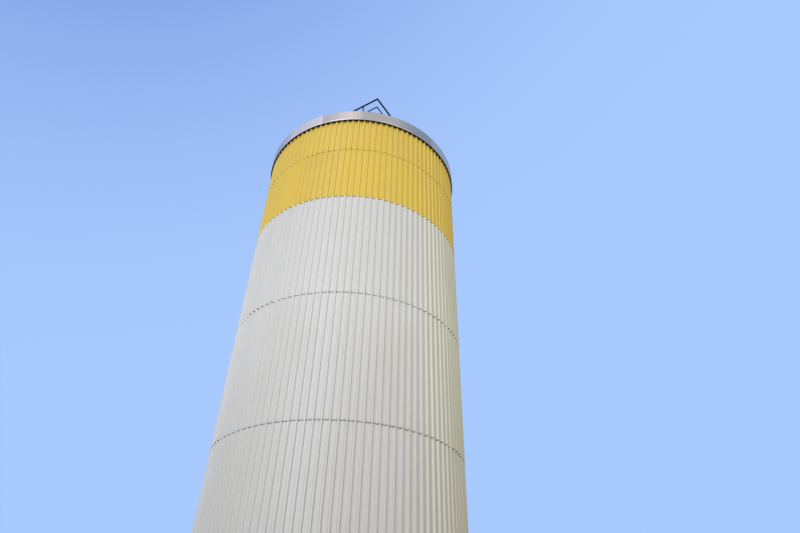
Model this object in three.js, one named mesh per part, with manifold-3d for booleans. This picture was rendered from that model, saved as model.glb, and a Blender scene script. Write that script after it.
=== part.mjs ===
// Insulated steel grain silo: a round wall in upright segments on a low concrete plinth, ribbed steel
// cladding in courses, a smooth rim band, a low cone roof and a railed platform. Millimetres, +Z up.
// The origin is on the ground under the silo's axis. X and Y run along the platform's sides.
import * as THREE from 'three';
import { mergeVertices } from 'three/addons/utils/BufferGeometryUtils.js';
import Module from 'manifold-3d';

// Ribbed cladding: seven ribs to a sheet and sixteen sheets round the silo.
const RIBS = 112;
const RIB_PITCH = 150;
const RIB_DEPTH = 38;
const CREST_SHARE = 0.22;
const FLANK_SHARE = 0.12;
const FIRST_RIB_DEG = 0.57;
const CREST_RADIUS = (RIBS * RIB_PITCH) / (2 * Math.PI);
const CLADDING_BACK_FACETS = 56;
const CLADDING_BACK = 2624.6;
const CLADDING_FOOT = 115;
const COURSES = [
  { name: 'cladding_white_1', height: 2700, finish: 'whiteSheet' },
  { name: 'cladding_white_2', height: 2702, finish: 'whiteSheet' },
  { name: 'cladding_white_3', height: 2722, finish: 'whiteSheet' },
  { name: 'cladding_white_4', height: 2736, finish: 'whiteSheet' },
  { name: 'cladding_yellow_1', height: 1620, finish: 'yellowSheet' },
  { name: 'cladding_yellow_2', height: 1205, finish: 'yellowSheet' },
];

// Plinth, floor and insulated wall.
const FACETS = 72;
const ROUND_START_DEG = 12.3;
const PLINTH_RADIUS = 2645;
const PLINTH_HEIGHT = 100;
const FLOOR_THICKNESS = 8;
const WALL_SEGMENTS = 12;
const WALL_OUTER = 2620;
const WALL_THICKNESS = 140;
const WALL_TOP = 14034;

// Base flashing: a sloped ledge that turns down outside the plinth.
const FLASHING_RADIUS = 2686;
const FLASHING_SKIN = 6;
const FLASHING_RISE = 12;
const FLASHING_DROP = 40;

// Rim band, with a drip lip kicked out along its lower edge.
const RIM_SEGMENTS = 8;
const RIM_RADIUS = 2715;
const RIM_SKIN = 4;
const RIM_LOWER = 13698;
const RIM_FLANGE = 60;
const LIP_HEIGHT = 28;
const LIP_KICK = 8;

// Roof: a flat edge on the wall's top and a low cone inside it.
const ROOF_SKIN = 8;
const ROOF_EDGE_RADIUS = 2706;
const ROOF_CONE_RADIUS = 2560;
const ROOF_SLOPE = 0.045;
const HATCH_RADIUS = 300;
const HATCH_FLANGE_RADIUS = 335;
const HATCH_FLANGE = 12;
const HATCH_TOP = 14342;
const HATCH_FACETS = 24;
const LID_SHOULDER_RADIUS = 280;
const LID_RISE = 36;
const HANDLE = { half: 80, width: 16, rise: 70 };

// Platform: channels on feet, a grating floor and a guard rail round it.
const RAIL_HALF_X = 1481;
const RAIL_HALF_Y = 1545;
const FRAME_INSET = 27;
const CHANNEL_HEIGHT = 100;
const CHANNEL_WIDTH = 50;
const CHANNEL_SKIN = 6;
const JOIST_X = 400;
const DECK_TOP = 14276;
const GRATING_THICKNESS = 30;
const GRATING_JOINT = 4;
const HATCH_GAP_HALF = 360;
const FOOT_X = 1250;
const FOOT_SIDE = 70;
const FOOT_PLATE = 150;
const FOOT_PLATE_THICKNESS = 16;
const POST_RADIUS = 19;
const POST_SIDES = 6;
const POST_FOOT = 110;
const BRACKET_HALF = 30;
const RAILS = [
  { height: 400, radius: 18.2 },
  { height: 775, radius: 18.2 },
  { height: 1145, radius: 26.2 },
];
const RAIL_SIDES = 8;
const FRONT_POST_X = 991;
const SIDE_POST_Y = 795;
const GATEWAY_HALF = 380;
const TOE_PLATE = { height: 100, skin: 6, lift: 10 };

// Clearance where cut or turned pieces meet.
const SEAT = 0.3;

// Levels and half sizes that follow from these.
const ROOF_EDGE_TOP = WALL_TOP + ROOF_SKIN;
const ROOF_APEX = ROOF_EDGE_TOP + ROOF_SLOPE * ROOF_CONE_RADIUS;
const FRAME_HALF_X = RAIL_HALF_X - FRAME_INSET;
const FRAME_HALF_Y = RAIL_HALF_Y - FRAME_INSET;
const FRAME_TOP = DECK_TOP - GRATING_THICKNESS;
const FRAME_FOOT = FRAME_TOP - CHANNEL_HEIGHT;
const TOP_RAIL_HEIGHT = RAILS[RAILS.length - 1].height;

const FINISHES = {
  whiteSheet: { color: 0xd6d6d4, roughness: 0.5, metalness: 0 },
  yellowSheet: { color: 0xe0c25c, roughness: 0.45, metalness: 0 },
  concrete: { color: 0xa8a49c, roughness: 0.9, metalness: 0 },
  steelPlate: { color: 0x9aa0a4, roughness: 0.5, metalness: 0.8 },
  satinSheet: { color: 0xc8c4c4, roughness: 0.35, metalness: 0.9 },
  galvanised: { color: 0x6f7376, roughness: 0.5, metalness: 0.8 },
};

const wasm = await Module();
wasm.setup();

const silo = new THREE.Group();

function addPart(name, geometry, finish, parent = silo) {
  const mesh = new THREE.Mesh(geometry, new THREE.MeshStandardMaterial(FINISHES[finish]));
  mesh.name = name;
  parent.add(mesh);
  return mesh;
}

// Joins and cuts.
function toSolid(geometry) {
  const bare = geometry.clone();
  bare.deleteAttribute('normal');
  bare.deleteAttribute('uv');
  const merged = mergeVertices(bare, 1e-3);
  const vertProperties = new Float32Array(merged.attributes.position.array);
  const triVerts = new Uint32Array(merged.index.array);
  return new wasm.Manifold(new wasm.Mesh({ numProp: 3, vertProperties, triVerts }));
}

function toGeometry(solid) {
  const mesh = solid.getMesh();
  const geometry = new THREE.BufferGeometry();
  geometry.setAttribute('position', new THREE.BufferAttribute(mesh.vertProperties, 3));
  geometry.setIndex(new THREE.BufferAttribute(mesh.triVerts, 1));
  geometry.computeVertexNormals();
  return geometry;
}

function join(geometries) {
  return geometries.map(toSolid).reduce((whole, piece) => whole.add(piece));
}

// Plan and profile shapes.
function onCircle(radius, degrees) {
  const angle = THREE.MathUtils.degToRad(degrees);
  return new THREE.Vector2(radius * Math.cos(angle), radius * Math.sin(angle));
}

function arc(radius, startDeg, endDeg, facets) {
  const points = [];
  for (let i = 0; i <= facets; i += 1) {
    points.push(onCircle(radius, startDeg + ((endDeg - startDeg) * i) / facets));
  }
  return points;
}

function extrude(shape, height, lowerZ) {
  const geometry = new THREE.ExtrudeGeometry(shape, { depth: height, bevelEnabled: false });
  return geometry.translate(0, 0, lowerZ);
}

// Turns a profile of [radius, height] points, listed up its outer side first, about the Z axis.
function turn(profile, startDeg = ROUND_START_DEG, facets = FACETS) {
  const points = profile.map(([radius, height]) => new THREE.Vector2(radius, height));
  const phiStart = THREE.MathUtils.degToRad(startDeg + 90);
  const geometry = new THREE.LatheGeometry(points, facets, phiStart, 2 * Math.PI);
  return geometry.rotateX(Math.PI / 2);
}

function turnRing(profile, startDeg) {
  return turn([...profile, profile[0]], startDeg);
}

function box(low, high) {
  const size = high.map((value, i) => value - low[i]);
  const middle = high.map((value, i) => (value + low[i]) / 2);
  return new THREE.BoxGeometry(...size).translate(...middle);
}

function plinth() {
  return turn([[0, 0], [PLINTH_RADIUS, 0], [PLINTH_RADIUS, PLINTH_HEIGHT], [0, PLINTH_HEIGHT]]);
}

function floorPlate() {
  const top = PLINTH_HEIGHT + FLOOR_THICKNESS;
  return turn([[0, PLINTH_HEIGHT], [WALL_OUTER, PLINTH_HEIGHT], [WALL_OUTER, top], [0, top]]);
}

function wallSegment(index) {
  const span = 360 / WALL_SEGMENTS;
  const trim = THREE.MathUtils.radToDeg(SEAT / 2 / WALL_OUTER);
  const start = ROUND_START_DEG + index * span + trim;
  const end = ROUND_START_DEG + (index + 1) * span - trim;
  const facets = FACETS / WALL_SEGMENTS;
  const outer = arc(WALL_OUTER, start, end, facets);
  const inner = arc(WALL_OUTER - WALL_THICKNESS, end, start, facets);
  const foot = PLINTH_HEIGHT + FLOOR_THICKNESS;
  return extrude(new THREE.Shape([...outer, ...inner]), WALL_TOP - foot, foot);
}

function baseFlashing() {
  const inner = WALL_OUTER + SEAT;
  const turnDown = FLASHING_RADIUS - FLASHING_SKIN;
  const seat = PLINTH_HEIGHT;
  return turnRing([
    [inner, seat],
    [turnDown, seat],
    [turnDown, seat - FLASHING_DROP],
    [FLASHING_RADIUS, seat - FLASHING_DROP],
    [FLASHING_RADIUS, seat + FLASHING_SKIN],
    [inner, seat + FLASHING_RISE],
  ]);
}

// One course of cladding: ribs outside, plain behind.
function claddingCourse(height, lowerZ) {
  const pitch = 360 / RIBS;
  const crest = (CREST_SHARE * pitch) / 2;
  const foot = crest + FLANK_SHARE * pitch;
  const panRadius = CREST_RADIUS - RIB_DEPTH;
  const outline = [];
  for (let rib = 0; rib < RIBS; rib += 1) {
    const middle = FIRST_RIB_DEG + rib * pitch;
    outline.push(onCircle(panRadius, middle - foot));
    outline.push(onCircle(CREST_RADIUS, middle - crest));
    outline.push(onCircle(CREST_RADIUS, middle + crest));
    outline.push(onCircle(panRadius, middle + foot));
  }
  const shape = new THREE.Shape(outline);
  const back = arc(CLADDING_BACK, 0, 360, CLADDING_BACK_FACETS).slice(1);
  shape.holes.push(new THREE.Path(back));
  return extrude(shape, height, lowerZ);
}

// The whole rim band; its joints fall halfway along a facet.
function rimRing() {
  const top = ROOF_EDGE_TOP + RIM_SKIN;
  const inner = RIM_RADIUS - RIM_SKIN;
  const lipTop = RIM_LOWER + LIP_HEIGHT;
  return turnRing([
    [inner + LIP_KICK, RIM_LOWER],
    [RIM_RADIUS + LIP_KICK, RIM_LOWER],
    [RIM_RADIUS, lipTop],
    [RIM_RADIUS, top],
    [RIM_RADIUS - RIM_FLANGE, top],
    [RIM_RADIUS - RIM_FLANGE, ROOF_EDGE_TOP],
    [inner, ROOF_EDGE_TOP],
    [inner, lipTop],
  ], ROUND_START_DEG + 180 / FACETS);
}

function rimSegment(ring, index) {
  const span = 360 / RIM_SEGMENTS;
  const trim = THREE.MathUtils.radToDeg(SEAT / 2 / RIM_RADIUS);
  const start = ROUND_START_DEG + index * span + trim;
  const end = ROUND_START_DEG + (index + 1) * span - trim;
  const wedge = new THREE.Shape([new THREE.Vector2(0, 0), ...arc(RIM_RADIUS * 1.5, start, end, 2)]);
  return toGeometry(ring.intersect(toSolid(extrude(wedge, WALL_TOP, RIM_LOWER - RIM_SKIN))));
}

function roofDeck() {
  return turn([
    [0, ROOF_APEX - ROOF_SKIN],
    [ROOF_CONE_RADIUS, WALL_TOP],
    [ROOF_EDGE_RADIUS, WALL_TOP],
    [ROOF_EDGE_RADIUS, ROOF_EDGE_TOP],
    [ROOF_CONE_RADIUS, ROOF_EDGE_TOP],
    [0, ROOF_APEX],
  ]);
}

// Everything below the roof's surface, raised by the clearance, which trims what stands on it.
function underRoof() {
  const lower = WALL_TOP - CHANNEL_HEIGHT;
  return toSolid(turn([
    [0, lower],
    [ROOF_CONE_RADIUS, lower],
    [ROOF_CONE_RADIUS, ROOF_EDGE_TOP + SEAT],
    [0, ROOF_APEX + SEAT],
  ]));
}

function hatchNeck(roofCut) {
  const flangeFoot = HATCH_TOP - HATCH_FLANGE;
  const neck = toSolid(turn([
    [0, WALL_TOP],
    [HATCH_RADIUS, WALL_TOP],
    [HATCH_RADIUS, flangeFoot],
    [HATCH_FLANGE_RADIUS, flangeFoot],
    [HATCH_FLANGE_RADIUS, HATCH_TOP],
    [0, HATCH_TOP],
  ], 0, HATCH_FACETS));
  return toGeometry(neck.subtract(roofCut));
}

function hatchCover() {
  const lidTop = HATCH_TOP + HATCH_FLANGE;
  const lid = turn([
    [0, HATCH_TOP],
    [HATCH_FLANGE_RADIUS, HATCH_TOP],
    [HATCH_FLANGE_RADIUS, lidTop],
    [LID_SHOULDER_RADIUS, lidTop],
    [LID_SHOULDER_RADIUS / 2, lidTop + 0.75 * LID_RISE],
    [0, lidTop + LID_RISE],
  ], 0, HATCH_FACETS);
  const barTop = lidTop + HANDLE.rise;
  const y = HANDLE.width / 2;
  const legs = [-HANDLE.half, HANDLE.half - HANDLE.width].map((x) => (
    box([x, -y, lidTop], [x + HANDLE.width, y, barTop])
  ));
  const bar = box([-HANDLE.half, -y, barTop - HANDLE.width], [HANDLE.half, y, barTop]);
  return toGeometry(join([lid, ...legs, bar]));
}

// A channel lying along X from x0 to x1, its web facing -Y and its flanges towards +Y.
function channel(x0, x1) {
  const inner = CHANNEL_WIDTH;
  const skin = CHANNEL_SKIN;
  const high = CHANNEL_HEIGHT;
  const section = new THREE.Shape([
    [0, 0], [inner, 0], [inner, skin], [skin, skin],
    [skin, high - skin], [inner, high - skin], [inner, high], [0, high],
  ].map(([y, z]) => new THREE.Vector2(y, z)));
  const geometry = new THREE.ExtrudeGeometry(section, { depth: x1 - x0, bevelEnabled: false });
  const lieAlongX = new THREE.Matrix4().makeBasis(
    new THREE.Vector3(0, 1, 0),
    new THREE.Vector3(0, 0, 1),
    new THREE.Vector3(1, 0, 0),
  );
  return geometry.applyMatrix4(lieAlongX).translate(x0, 0, 0);
}

function roofHeight(x, y) {
  return ROOF_APEX - ROOF_SLOPE * Math.hypot(x, y);
}

// A front or rear beam on its feet. The side is -1 at the front and 1 at the rear.
function footedBeam(side, roofCut) {
  const beam = channel(-FRAME_HALF_X, FRAME_HALF_X);
  if (side > 0) beam.rotateZ(Math.PI);
  beam.translate(0, side * FRAME_HALF_Y, FRAME_FOOT);
  const y = side * (FRAME_HALF_Y - CHANNEL_WIDTH / 2);
  const pieces = [beam];
  const leg = FOOT_SIDE / 2;
  const plate = FOOT_PLATE / 2;
  for (const x of [-FOOT_X, 0, FOOT_X]) {
    const legTop = FRAME_FOOT + CHANNEL_SKIN / 2;
    const plateTop = roofHeight(x, y) + FOOT_PLATE_THICKNESS;
    pieces.push(box([x - leg, y - leg, ROOF_EDGE_TOP], [x + leg, y + leg, legTop]));
    pieces.push(box([x - plate, y - plate, WALL_TOP], [x + plate, y + plate, plateTop]));
  }
  return toGeometry(join(pieces).subtract(roofCut));
}

// A beam along Y between the front and rear ones, with its web at x and its flanges to one side.
function crossBeam(webX, flangeSide) {
  const reach = FRAME_HALF_Y - CHANNEL_WIDTH - SEAT;
  const beam = channel(-reach, reach);
  beam.rotateZ(flangeSide < 0 ? Math.PI / 2 : -Math.PI / 2);
  return beam.translate(webX, 0, FRAME_FOOT);
}

function tube(radius, length, sides) {
  const geometry = new THREE.CylinderGeometry(radius, radius, length, sides);
  return geometry.rotateY(Math.PI / sides);
}

function railAlongX({ height, radius }, x0, x1) {
  const rail = tube(radius, x1 - x0, RAIL_SIDES).rotateZ(Math.PI / 2);
  return rail.translate((x0 + x1) / 2, 0, height);
}

function railPost(x) {
  const post = tube(POST_RADIUS, TOP_RAIL_HEIGHT + POST_FOOT, POST_SIDES).rotateX(Math.PI / 2);
  return post.translate(x, 0, (TOP_RAIL_HEIGHT - POST_FOOT) / 2);
}

function postBracket(x) {
  const low = [x - BRACKET_HALF, 0, -POST_FOOT];
  return box(low, [x + BRACKET_HALF, FRAME_INSET - SEAT, -GRATING_THICKNESS]);
}

// Cuts a panel's end at 45 degrees, so that it meets the next side's panel in a mitre.
function mitreCut(half, sign) {
  const side = TOP_RAIL_HEIGHT;
  const geometry = new THREE.BoxGeometry(side, side, 4 * side).rotateZ(Math.PI / 4);
  const shift = side / 2 / Math.SQRT2 - SEAT / 2;
  return toSolid(geometry.translate(sign * (half + shift), shift, 0));
}

// A welded rail panel along X: three rails, posts, post brackets and a toe plate inside the posts.
function railPanel({ half, from = -half, to = half, posts }) {
  const overrun = 2 * POST_RADIUS;
  const low = from === -half ? from - overrun : from;
  const high = to === half ? to + overrun : to;
  const rails = RAILS.map((rail) => railAlongX(rail, low, high));
  const toeFace = POST_RADIUS * Math.cos(Math.PI / POST_SIDES) - 1;
  const toe = box(
    [low, toeFace, TOE_PLATE.lift],
    [high, toeFace + TOE_PLATE.skin, TOE_PLATE.lift + TOE_PLATE.height],
  );
  let panel = join([...rails, toe, ...posts.map(railPost), ...posts.map(postBracket)]);
  if (from === -half) panel = panel.subtract(mitreCut(half, -1));
  if (to === half) panel = panel.subtract(mitreCut(half, 1));
  return toGeometry(panel);
}

addPart('foundation_plinth', plinth(), 'concrete');
addPart('floor_plate', floorPlate(), 'steelPlate');
addPart('base_flashing', baseFlashing(), 'satinSheet');
for (let i = 0; i < WALL_SEGMENTS; i += 1) {
  addPart(`wall_segment_${String(i + 1).padStart(2, '0')}`, wallSegment(i), 'steelPlate');
}

let courseFoot = CLADDING_FOOT;
for (const course of COURSES) {
  addPart(course.name, claddingCourse(course.height, courseFoot), course.finish);
  courseFoot += course.height;
}

const rim = toSolid(rimRing());
for (let i = 0; i < RIM_SEGMENTS; i += 1) {
  addPart(`rim_band_${i + 1}`, rimSegment(rim, i), 'satinSheet');
}

const roofCut = underRoof();
addPart('roof_deck', roofDeck(), 'satinSheet');
addPart('hatch_neck', hatchNeck(roofCut), 'galvanised');
addPart('hatch_cover', hatchCover(), 'galvanised');

addPart('platform_beam_front', footedBeam(-1, roofCut), 'galvanised');
addPart('platform_beam_rear', footedBeam(1, roofCut), 'galvanised');
addPart('platform_beam_left', crossBeam(-FRAME_HALF_X, 1), 'galvanised');
addPart('platform_beam_right', crossBeam(FRAME_HALF_X, -1), 'galvanised');
addPart('platform_joist_left', crossBeam(-JOIST_X + CHANNEL_WIDTH / 2, -1), 'galvanised');
addPart('platform_joist_right', crossBeam(JOIST_X - CHANNEL_WIDTH / 2, 1), 'galvanised');

const panelEdge = JOIST_X + GRATING_JOINT / 2;
const middleEdge = JOIST_X - GRATING_JOINT / 2;
const gratings = {
  left: [[-FRAME_HALF_X, -FRAME_HALF_Y], [-panelEdge, FRAME_HALF_Y]],
  right: [[panelEdge, -FRAME_HALF_Y], [FRAME_HALF_X, FRAME_HALF_Y]],
  front: [[-middleEdge, -FRAME_HALF_Y], [middleEdge, -HATCH_GAP_HALF]],
  rear: [[-middleEdge, HATCH_GAP_HALF], [middleEdge, FRAME_HALF_Y]],
};
for (const [place, [low, high]] of Object.entries(gratings)) {
  addPart(`grating_${place}`, box([...low, FRAME_TOP], [...high, DECK_TOP]), 'galvanised');
}

// The guard rail's sides, each turned so that its toe plate is inside, with a gateway at the rear.
const frontPosts = [-FRONT_POST_X, 0, FRONT_POST_X];
const sidePosts = [-SIDE_POST_Y, 0, SIDE_POST_Y];
const panels = {
  front: { half: RAIL_HALF_X, posts: frontPosts, turnDeg: 0 },
  right: { half: RAIL_HALF_Y, posts: sidePosts, turnDeg: 90 },
  left: { half: RAIL_HALF_Y, posts: sidePosts, turnDeg: 270 },
  rear_left: { half: RAIL_HALF_X, from: GATEWAY_HALF, posts: [GATEWAY_HALF, FRONT_POST_X], turnDeg: 180 },
  rear_right: { half: RAIL_HALF_X, to: -GATEWAY_HALF, posts: [-FRONT_POST_X, -GATEWAY_HALF], turnDeg: 180 },
};
for (const [place, panel] of Object.entries(panels)) {
  const side = new THREE.Group();
  const alongX = panel.turnDeg % 180 === 0;
  const offset = alongX ? RAIL_HALF_Y : RAIL_HALF_X;
  side.rotation.z = THREE.MathUtils.degToRad(panel.turnDeg);
  side.position.z = DECK_TOP;
  silo.add(side);
  addPart(`guardrail_${place}`, railPanel(panel), 'galvanised', side).position.y = -offset;
}

export default silo;
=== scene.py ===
import math
import random

import bmesh
import bpy
from mathutils import Matrix, Vector


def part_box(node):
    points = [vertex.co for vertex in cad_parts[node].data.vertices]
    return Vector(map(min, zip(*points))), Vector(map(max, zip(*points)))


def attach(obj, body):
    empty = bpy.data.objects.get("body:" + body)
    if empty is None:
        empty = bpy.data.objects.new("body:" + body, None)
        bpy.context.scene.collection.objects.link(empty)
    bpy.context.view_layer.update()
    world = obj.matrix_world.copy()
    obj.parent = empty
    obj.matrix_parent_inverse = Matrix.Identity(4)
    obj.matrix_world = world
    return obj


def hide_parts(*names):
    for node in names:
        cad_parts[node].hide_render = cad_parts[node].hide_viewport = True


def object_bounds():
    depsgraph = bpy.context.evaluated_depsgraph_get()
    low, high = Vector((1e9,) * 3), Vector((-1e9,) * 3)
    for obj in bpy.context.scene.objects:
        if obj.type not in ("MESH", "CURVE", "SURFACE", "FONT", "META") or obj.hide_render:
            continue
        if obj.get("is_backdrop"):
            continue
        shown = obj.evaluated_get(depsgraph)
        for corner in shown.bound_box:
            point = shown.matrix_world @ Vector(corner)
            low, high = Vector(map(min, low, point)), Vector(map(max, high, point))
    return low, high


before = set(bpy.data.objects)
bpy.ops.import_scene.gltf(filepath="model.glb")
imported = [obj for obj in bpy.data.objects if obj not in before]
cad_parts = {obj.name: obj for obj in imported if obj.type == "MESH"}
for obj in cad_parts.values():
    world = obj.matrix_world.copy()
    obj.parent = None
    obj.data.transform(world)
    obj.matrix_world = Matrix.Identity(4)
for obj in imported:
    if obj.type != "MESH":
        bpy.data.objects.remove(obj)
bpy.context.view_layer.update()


# View
# The eye stands 1.72 m above the ground, 12.2 m from the silo's axis, and looks up past the silo's
# right side, a little tilted. The lens and the angles follow from the rim, the joints and the outline.
EYE = Vector((7.446, -9.648, 1.72))
TURN_LEFT_DEG = 32.0
LOOK_UP_DEG = 37.23
ROLL_DEG = 1.33
LENS_MM = 25.25
SENSOR_MM = 36.0
SIGHT = 1000.0

bpy.ops.object.camera_add(location=EYE)
camera = bpy.context.object
heading = Matrix.Rotation(math.radians(TURN_LEFT_DEG), 4, "Z")
pitch = Matrix.Rotation(math.radians(90 + LOOK_UP_DEG), 4, "X")
roll = Matrix.Rotation(math.radians(ROLL_DEG), 4, "Z")
camera.matrix_world = Matrix.Translation(EYE) @ heading @ pitch @ roll
camera.data.sensor_fit = "HORIZONTAL"
camera.data.sensor_width = SENSOR_MM
camera.data.lens = LENS_MM
camera.data.clip_end = SIGHT
bpy.context.scene.camera = camera


# Floor, backdrop and light
# A wide matt floor, a pale blue backdrop that deepens overhead and to the left, and five soft lights.
# Only metal and gloss mirror the blue: matt surfaces get a dim, slightly warm daylight from the backdrop.
FLOOR_SIZE = 600.0
FLOOR_COLOUR = "#DAD8D2"
FLOOR_CLOUD = "#D1CEC8"
SKY_LOW = "#A8CAFE"
SKY_HIGH = "#7D9BE2"
SKY_LOW_AT = 0.3
SKY_HIGH_AT = 0.95
SKY_DEEPEST = {"bearing": 212, "height": 68}
SKY_DEEPENS = 4.0
DAYLIGHT = "#FFFDEB"
DAYLIGHT_STRENGTH = 0.31

# A broad low key from the left, a weak low fill from the right, a very soft light from above, a faint small
# one for the rim's steel to mirror, and one behind for the far side.
LAMPS = {
    "key_light": {"bearing": -82, "height": 20, "spread": 24, "strength": 1.32, "colour": "#DFE5FF"},
    "fill_light": {"bearing": -20, "height": 20, "spread": 40, "strength": 0.46, "colour": "#FFF6E2"},
    "top_light": {"bearing": -92, "height": 50, "spread": 100, "strength": 0.59, "colour": "#FFF5CE"},
    "rim_light": {"bearing": -74, "height": 52, "spread": 10, "strength": 0.055, "colour": "#FFEFD8"},
    "rear_light": {"bearing": 128, "height": 18, "spread": 40, "strength": 1.0, "colour": "#DCE3FF"},
}


def from_hex(code):
    """A colour written as sRGB hex, as a linear colour."""
    shares = [int(code[place:place + 2], 16) / 255 for place in (1, 3, 5)]
    return (*[s / 12.92 if s <= 0.04045 else ((s + 0.055) / 1.055) ** 2.4 for s in shares], 1.0)


def add_node(tree, kind, inputs=None, **settings):
    """Adds a node, sets what it is told, and links or fills its inputs.

    An input is an output of another node, or that node itself for its first output, or else a value,
    where text is a colour's sRGB hex.
    """
    made = tree.nodes.new("ShaderNode" + kind)
    for name, value in settings.items():
        setattr(made, name, value)
    for place, value in (inputs or {}).items():
        if isinstance(value, bpy.types.Node):
            value = value.outputs[0]
        if isinstance(value, bpy.types.NodeSocket):
            tree.links.new(value, made.inputs[place])
        else:
            made.inputs[place].default_value = from_hex(value) if isinstance(value, str) else value
    return made


def start_material(name):
    """An empty material, its node tree, and the coordinates of the piece in metres."""
    material = bpy.data.materials.new(name)
    material.use_nodes = True
    tree = material.node_tree
    tree.nodes.clear()
    return material, tree, add_node(tree, "TexCoord").outputs["Object"]


def finish_material(material, inputs):
    """Gives a material its shader, with these inputs, and its output."""
    tree = material.node_tree
    shader = add_node(tree, "BsdfPrincipled", inputs)
    add_node(tree, "OutputMaterial", {"Surface": shader})
    return material


def on_bearing(bearing_deg, height_deg=0.0):
    """The unit vector towards a bearing, counted from +X towards +Y, and a height above the horizon."""
    across = math.cos(math.radians(height_deg))
    bearing = math.radians(bearing_deg)
    return Vector((
        across * math.cos(bearing),
        across * math.sin(bearing),
        math.sin(math.radians(height_deg)),
    ))


def floor_paint():
    # Dead matt paint gives an even pale grey with faint clouds and no gloss.
    material, tree, place = start_material("matt_floor_paint")
    cloud = add_node(tree, "TexNoise", {"Vector": place, "Scale": 0.4, "Detail": 4.0})
    colour = add_node(tree, "MixRGB", {"Fac": cloud, "Color1": FLOOR_COLOUR, "Color2": FLOOR_CLOUD})
    return finish_material(material, {"Base Color": colour, "Roughness": 0.9})


bpy.ops.object.select_all(action="DESELECT")
bpy.ops.mesh.primitive_plane_add(size=FLOOR_SIZE)
floor = bpy.context.object
floor.name = "floor"
floor.data.materials.append(floor_paint())
floor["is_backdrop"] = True

world = bpy.data.worlds.new("pale_backdrop")
bpy.context.scene.world = world
world.use_nodes = True
sky = world.node_tree
sky.nodes.clear()
towards = add_node(sky, "TexCoord").outputs["Generated"]
deepest = on_bearing(SKY_DEEPEST["bearing"], SKY_DEEPEST["height"])
nearness = add_node(sky, "VectorMath", {0: towards, 1: deepest}, operation="DOT_PRODUCT").outputs["Value"]
climb = add_node(sky, "MapRange", {"Value": nearness, "From Min": SKY_LOW_AT, "From Max": SKY_HIGH_AT})
depth = add_node(sky, "Math", {0: climb, 1: SKY_DEEPENS}, operation="POWER")
tint = add_node(sky, "MixRGB", {"Fac": depth, "Color1": SKY_LOW, "Color2": SKY_HIGH})
backdrop = add_node(sky, "Background", {"Color": tint, "Strength": 1.0})
daylight = add_node(sky, "Background", {"Color": DAYLIGHT, "Strength": DAYLIGHT_STRENGTH})
shared = add_node(sky, "MixShader", {
    0: add_node(sky, "LightPath").outputs["Is Diffuse Ray"],
    1: backdrop,
    2: daylight,
})
add_node(sky, "OutputWorld", {"Surface": shared})

for name, lamp in LAMPS.items():
    bpy.ops.object.light_add(type="SUN")
    light = bpy.context.object
    light.name = name
    light.rotation_euler = on_bearing(lamp["bearing"], lamp["height"]).to_track_quat("Z", "Y").to_euler()
    light.data.angle = math.radians(lamp["spread"])
    light.data.energy = lamp["strength"]
    light.data.color = from_hex(lamp["colour"])[:3]

bpy.context.scene.view_settings.view_transform = "Standard"


# Foundation plinth
# A low disc of cast concrete under the whole silo, struck smooth on top, with its upper arris
# chamfered by the formwork. Rain and dust have left it blotched.
PLINTH_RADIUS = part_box("foundation_plinth")[1].x
PLINTH_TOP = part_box("foundation_plinth")[1].z
PLINTH_FACETS = 160
PLINTH_CHAMFER = 0.012
PLINTH_STRUCK_EDGE = 0.02
PLINTH_CREASE_DEG = 30
FACES_UP = 0.9


def select_top(piece):
    """In edit mode, leaves only the faces selected that look up."""
    shape = bmesh.from_edit_mesh(piece.data)
    for face in shape.faces:
        face.select_set(False)
    for face in shape.faces:
        if face.normal.z > FACES_UP:
            face.select_set(True)
    bmesh.update_edit_mesh(piece.data)


def edit(piece):
    """Goes into edit mode on this piece alone, in face selection."""
    bpy.ops.object.select_all(action="DESELECT")
    bpy.context.view_layer.objects.active = piece
    piece.select_set(True)
    bpy.ops.object.mode_set(mode="EDIT")
    bpy.ops.mesh.select_mode(type="FACE")


def apply_place():
    """Leaves edit mode and moves the object's place into its mesh."""
    if bpy.context.object.mode == "EDIT":
        bpy.ops.object.mode_set(mode="OBJECT")
    bpy.ops.object.transform_apply(location=True, rotation=True, scale=True)
    return bpy.context.object


def add_rod(sides, radius, length, middle, turn=(0, 0, 0)):
    """Adds a cylinder about its middle."""
    bpy.ops.object.select_all(action="DESELECT")
    bpy.ops.mesh.primitive_cylinder_add(
        vertices=sides, radius=radius, depth=length, location=middle, rotation=turn,
    )
    return bpy.context.object


def hang(piece, name, material, slot, *nodes):
    """Names a finished piece, gives it its finish and sets it in the frame in place of its nodes."""
    piece.name = name
    piece.data.name = name
    piece.data.materials.clear()
    piece.data.materials.append(material)
    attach(piece, "root")
    if nodes:
        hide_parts(*nodes)


def cast_concrete():
    # Cast concrete gives a matt, faintly blotched grey with fine pores, lighter where it has dried.
    material, tree, place = start_material("cast_concrete")
    blotch = add_node(tree, "TexNoise", {"Vector": place, "Scale": 2.2, "Detail": 6.0})
    pores = add_node(tree, "TexVoronoi", {"Vector": place, "Scale": 90.0})
    colour = add_node(tree, "MixRGB", {"Fac": blotch, "Color1": "#8F8B84", "Color2": "#BDB9B1"})
    relief = add_node(tree, "Bump", {"Height": pores, "Strength": 0.35, "Distance": 0.002})
    return finish_material(material, {"Base Color": colour, "Roughness": 0.88, "Normal": relief})


plinth = add_rod(PLINTH_FACETS, PLINTH_RADIUS, PLINTH_TOP, (0, 0, PLINTH_TOP / 2))
edit(plinth)
select_top(plinth)
bpy.ops.mesh.bevel(offset=PLINTH_CHAMFER, segments=1, affect="EDGES")
select_top(plinth)
bpy.ops.mesh.inset(thickness=PLINTH_STRUCK_EDGE)
plinth = apply_place()
bpy.ops.object.shade_smooth_by_angle(angle=math.radians(PLINTH_CREASE_DEG))
hang(plinth, "concrete_plinth", cast_concrete(), "concrete", "foundation_plinth")


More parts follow.
